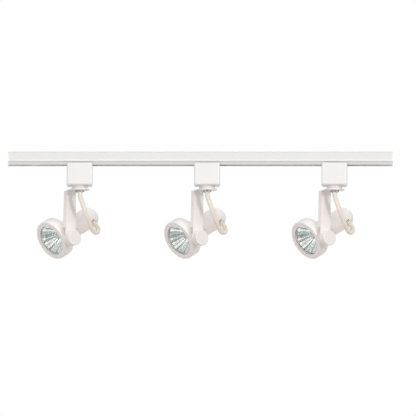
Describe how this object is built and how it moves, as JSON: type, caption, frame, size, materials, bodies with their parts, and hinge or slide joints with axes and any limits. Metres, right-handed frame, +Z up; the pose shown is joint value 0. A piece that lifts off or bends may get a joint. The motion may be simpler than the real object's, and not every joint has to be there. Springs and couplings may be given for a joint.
{
  "type": "track lighting fixture",
  "caption": "Straight white ceiling track with adjustable spotlight heads, each a round reflector lamp on a folded bracket that slides, swivels and tilts.",
  "frame": {"origin": "middle of the track's flat ceiling face", "axes": "+X along the track, +Z up into the ceiling, -Y towards the viewer's side that the knobs face"},
  "size_m": [0.61, 0.1229, 0.1633],
  "materials": {
    "track_white_enamel": "semi-gloss white enamel on extruded aluminium",
    "insulator_plastic": "matte moulded pale grey plastic",
    "copper": "bare copper strip",
    "white_plastic": "smooth moulded white plastic",
    "zinc_steel": "bright zinc plate",
    "nut_chrome": "bright chrome plate",
    "white_enamel": "warm white enamel",
    "cord_sleeve": "warm white silicone-rubber sleeve",
    "knob_plastic": "satin moulded white plastic",
    "clear_glass": "clear glass",
    "reflector_mirror": "faceted mirror coating in glass",
    "white_ceramic": "unglazed white ceramic",
    "grommet_plastic": "matte cream plastic"
  },
  "bodies": {
    "track": {"track_channel": "track_white_enamel", "insulator_strips": "insulator_plastic", "conductor_bars": "copper", "end_cap_left": "white_plastic", "end_cap_right": "white_plastic", "end_cap_screws": "zinc_steel", "feed_terminal_block": "insulator_plastic", "terminal_screws": "zinc_steel"},
    "adapter_1": {"adapter_housing_1": "white_plastic", "adapter_key_1": "insulator_plastic", "contact_blades_1": "copper", "swivel_stem_1": "zinc_steel", "stem_nut_1": "nut_chrome"},
    "bracket_1": {"swivel_bracket_1": "white_enamel", "head_cord_1": "cord_sleeve"},
    "lamp_1": {"lamp_shroud_1": "white_enamel", "lamp_bezel_1": "white_enamel", "front_glass_1": "clear_glass", "reflector_1": "reflector_mirror", "halogen_capsule_1": "clear_glass", "lamp_base_1": "white_ceramic", "lampholder_1": "white_ceramic", "socket_housing_1": "white_enamel", "cord_grommet_1": "grommet_plastic"},
    "knob_1": {"tilt_knob_1": "knob_plastic"},
    "adapter_2": {"adapter_housing_2": "white_plastic", "adapter_key_2": "insulator_plastic", "contact_blades_2": "copper", "swivel_stem_2": "zinc_steel", "stem_nut_2": "nut_chrome"},
    "bracket_2": {"swivel_bracket_2": "white_enamel", "head_cord_2": "cord_sleeve"},
    "lamp_2": {"lamp_shroud_2": "white_enamel", "lamp_bezel_2": "white_enamel", "front_glass_2": "clear_glass", "reflector_2": "reflector_mirror", "halogen_capsule_2": "clear_glass", "lamp_base_2": "white_ceramic", "lampholder_2": "white_ceramic", "socket_housing_2": "white_enamel", "cord_grommet_2": "grommet_plastic"},
    "knob_2": {"tilt_knob_2": "knob_plastic"},
    "adapter_3": {"adapter_housing_3": "white_plastic", "adapter_key_3": "insulator_plastic", "contact_blades_3": "copper", "swivel_stem_3": "zinc_steel", "stem_nut_3": "nut_chrome"},
    "bracket_3": {"swivel_bracket_3": "white_enamel", "head_cord_3": "cord_sleeve"},
    "lamp_3": {"lamp_shroud_3": "white_enamel", "lamp_bezel_3": "white_enamel", "front_glass_3": "clear_glass", "reflector_3": "reflector_mirror", "halogen_capsule_3": "clear_glass", "lamp_base_3": "white_ceramic", "lampholder_3": "white_ceramic", "socket_housing_3": "white_enamel", "cord_grommet_3": "grommet_plastic"},
    "knob_3": {"tilt_knob_3": "knob_plastic"}
  },
  "joints": [
    {"name": "slide_1", "type": "slide", "parent": "track", "child": "adapter_1", "axis": [1, 0, 0], "range_m": [-0.05, 0.05]},
    {"name": "swivel_1", "type": "hinge", "parent": "adapter_1", "child": "bracket_1", "pos_m": [-0.19135, 0, -0.0592], "axis": [0, 0, 1], "range_deg": [-170, 170]},
    {"name": "tilt_1", "type": "hinge", "parent": "bracket_1", "child": "lamp_1", "pos_m": [-0.19135, 0, -0.13425], "axis": [0.6088, -0.7934, 0], "range_deg": [-29, 61], "deforming": ["head_cord_1"]},
    {"name": "knob_turn_1", "type": "hinge", "parent": "lamp_1", "child": "knob_1", "pos_m": [-0.19135, 0, -0.13425], "axis": [0.6088, -0.7934, 0], "range_deg": [0, 180]},
    {"name": "slide_2", "type": "slide", "parent": "track", "child": "adapter_2", "axis": [1, 0, 0], "range_m": [-0.05, 0.05]},
    {"name": "swivel_2", "type": "hinge", "parent": "adapter_2", "child": "bracket_2", "pos_m": [0.0105, 0, -0.0592], "axis": [0, 0, 1], "range_deg": [-170, 170]},
    {"name": "tilt_2", "type": "hinge", "parent": "bracket_2", "child": "lamp_2", "pos_m": [0.0105, 0, -0.13425], "axis": [0.6088, -0.7934, 0], "range_deg": [-29, 61], "deforming": ["head_cord_2"]},
    {"name": "knob_turn_2", "type": "hinge", "parent": "lamp_2", "child": "knob_2", "pos_m": [0.0105, 0, -0.13425], "axis": [0.6088, -0.7934, 0], "range_deg": [0, 180]},
    {"name": "slide_3", "type": "slide", "parent": "track", "child": "adapter_3", "axis": [1, 0, 0], "range_m": [-0.05, 0.05]},
    {"name": "swivel_3", "type": "hinge", "parent": "adapter_3", "child": "bracket_3", "pos_m": [0.21235, 0, -0.0592], "axis": [0, 0, 1], "range_deg": [-170, 170]},
    {"name": "tilt_3", "type": "hinge", "parent": "bracket_3", "child": "lamp_3", "pos_m": [0.21235, 0, -0.13425], "axis": [0.6088, -0.7934, 0], "range_deg": [-29, 61], "deforming": ["head_cord_3"]},
    {"name": "knob_turn_3", "type": "hinge", "parent": "lamp_3", "child": "knob_3", "pos_m": [0.21235, 0, -0.13425], "axis": [0.6088, -0.7934, 0], "range_deg": [0, 180]}
  ]
}
